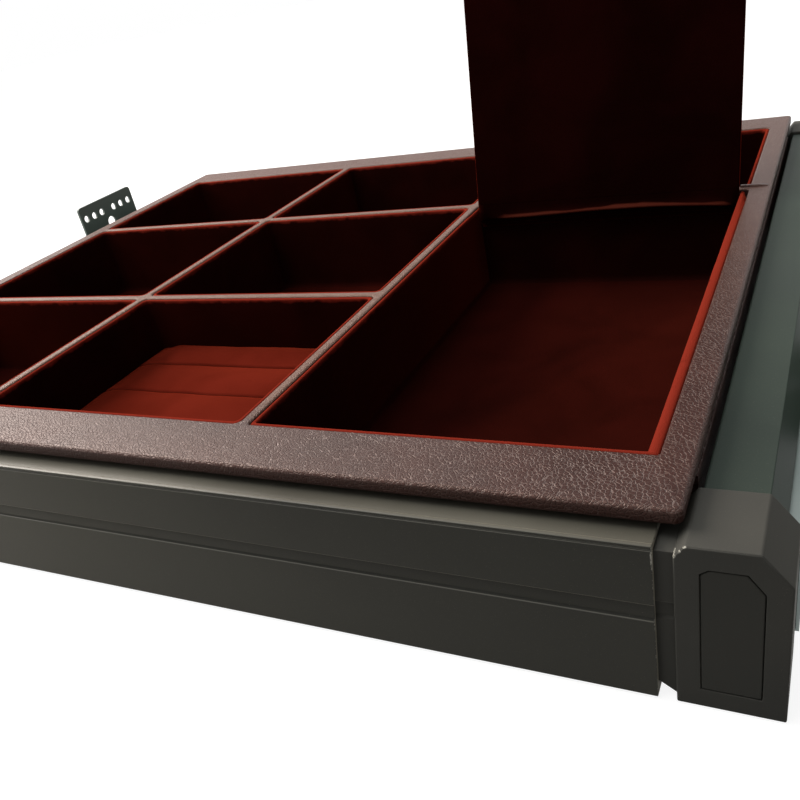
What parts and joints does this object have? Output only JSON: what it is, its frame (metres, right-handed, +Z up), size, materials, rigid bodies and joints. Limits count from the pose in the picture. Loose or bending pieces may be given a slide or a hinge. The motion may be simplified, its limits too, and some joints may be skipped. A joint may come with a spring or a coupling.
{
  "type": "pull-out jewellery drawer",
  "caption": "Pull-out wardrobe drawer for jewellery: metal frame on ball slides, leather-covered tray with velvet-lined compartments, and a lid over the largest one.",
  "frame": {"origin": "centre of the bounding box's base: under the middle of the drawer, level with the corner blocks' undersides", "axes": "+X to the right seen from the front, +Y towards the back of the wardrobe, +Z up; the drawer runs out along -Y"},
  "size_m": [0.614, 0.4996, 0.3484],
  "materials": {
    "frame_paint": "satin dark bronze powder coat",
    "plate_paint": "satin dark grey-green paint",
    "zinc_steel": "zinc plated",
    "screw_steel": "plated",
    "cover_plastic": "fine satin, matched to the frame",
    "leather": "pebbled wine brown with a soft sheen",
    "velvet": "short dark red pile",
    "board": "raw fibreboard"
  },
  "bodies": {
    "cabinet_side": {"left_front_mounting_plate": "plate_paint", "left_rear_mounting_plate": "plate_paint", "right_front_mounting_plate": "plate_paint", "right_rear_mounting_plate": "plate_paint", "left_outer_slide": "zinc_steel", "right_outer_slide": "zinc_steel"},
    "left_middle_run": {"left_middle_slide": "zinc_steel", "left_outer_ball_cage": "zinc_steel", "left_inner_ball_cage": "zinc_steel"},
    "right_middle_run": {"right_middle_slide": "zinc_steel", "right_outer_ball_cage": "zinc_steel", "right_inner_ball_cage": "zinc_steel"},
    "drawer": {"front_rail": "frame_paint", "rear_rail": "frame_paint", "left_side_rail": "frame_paint", "right_side_rail": "frame_paint", "front_left_corner": "frame_paint", "front_right_corner": "frame_paint", "rear_left_corner": "frame_paint", "rear_right_corner": "frame_paint", "front_left_corner_cover": "cover_plastic", "front_right_corner_cover": "cover_plastic", "front_left_corner_screw": "screw_steel", "front_right_corner_screw": "screw_steel", "rear_left_corner_screw": "screw_steel", "rear_right_corner_screw": "screw_steel", "left_inner_slide": "zinc_steel", "right_inner_slide": "zinc_steel", "left_front_slide_screw": "screw_steel", "left_rear_slide_screw": "screw_steel", "right_front_slide_screw": "screw_steel", "right_rear_slide_screw": "screw_steel", "tray_base": "board", "tray_front_wall": "leather", "tray_rear_wall": "leather", "tray_left_wall": "leather", "tray_right_wall": "leather", "left_long_divider": "leather", "right_long_divider": "leather", "left_front_divider": "leather", "left_rear_divider": "leather", "middle_front_divider": "leather", "middle_rear_divider": "leather", "right_rear_divider": "leather", "rim_lap": "leather", "left_front_liner": "velvet", "left_middle_liner": "velvet", "left_rear_liner": "velvet", "middle_front_liner": "velvet", "middle_middle_liner": "velvet", "middle_rear_liner": "velvet", "right_rear_liner": "velvet", "large_liner": "velvet", "channelled_pad": "velvet", "lid_batten": "velvet"},
    "lid": {"lid_board": "leather", "lid_velvet_panel": "velvet", "lid_fold": "leather"}
  },
  "joints": [
    {"name": "drawer_run", "type": "slide", "parent": "cabinet_side", "child": "drawer", "axis": [0, -1, 0], "range_m": [0, 0.42]},
    {"name": "left_middle_travel", "type": "slide", "parent": "cabinet_side", "child": "left_middle_run", "axis": [0, -1, 0], "range_m": [0, 0.21]},
    {"name": "right_middle_travel", "type": "slide", "parent": "cabinet_side", "child": "right_middle_run", "axis": [0, -1, 0], "range_m": [0, 0.21]},
    {"name": "lid_hinge", "type": "hinge", "parent": "drawer", "child": "lid", "pos_m": [0.1738, 0.07075, 0.07385], "axis": [1, 0, 0], "range_deg": [0, 101]}
  ],
  "couplings": [
    {"joint": "left_middle_travel", "follows": "drawer_run", "ratio": 0.5},
    {"joint": "right_middle_travel", "follows": "drawer_run", "ratio": 0.5}
  ]
}
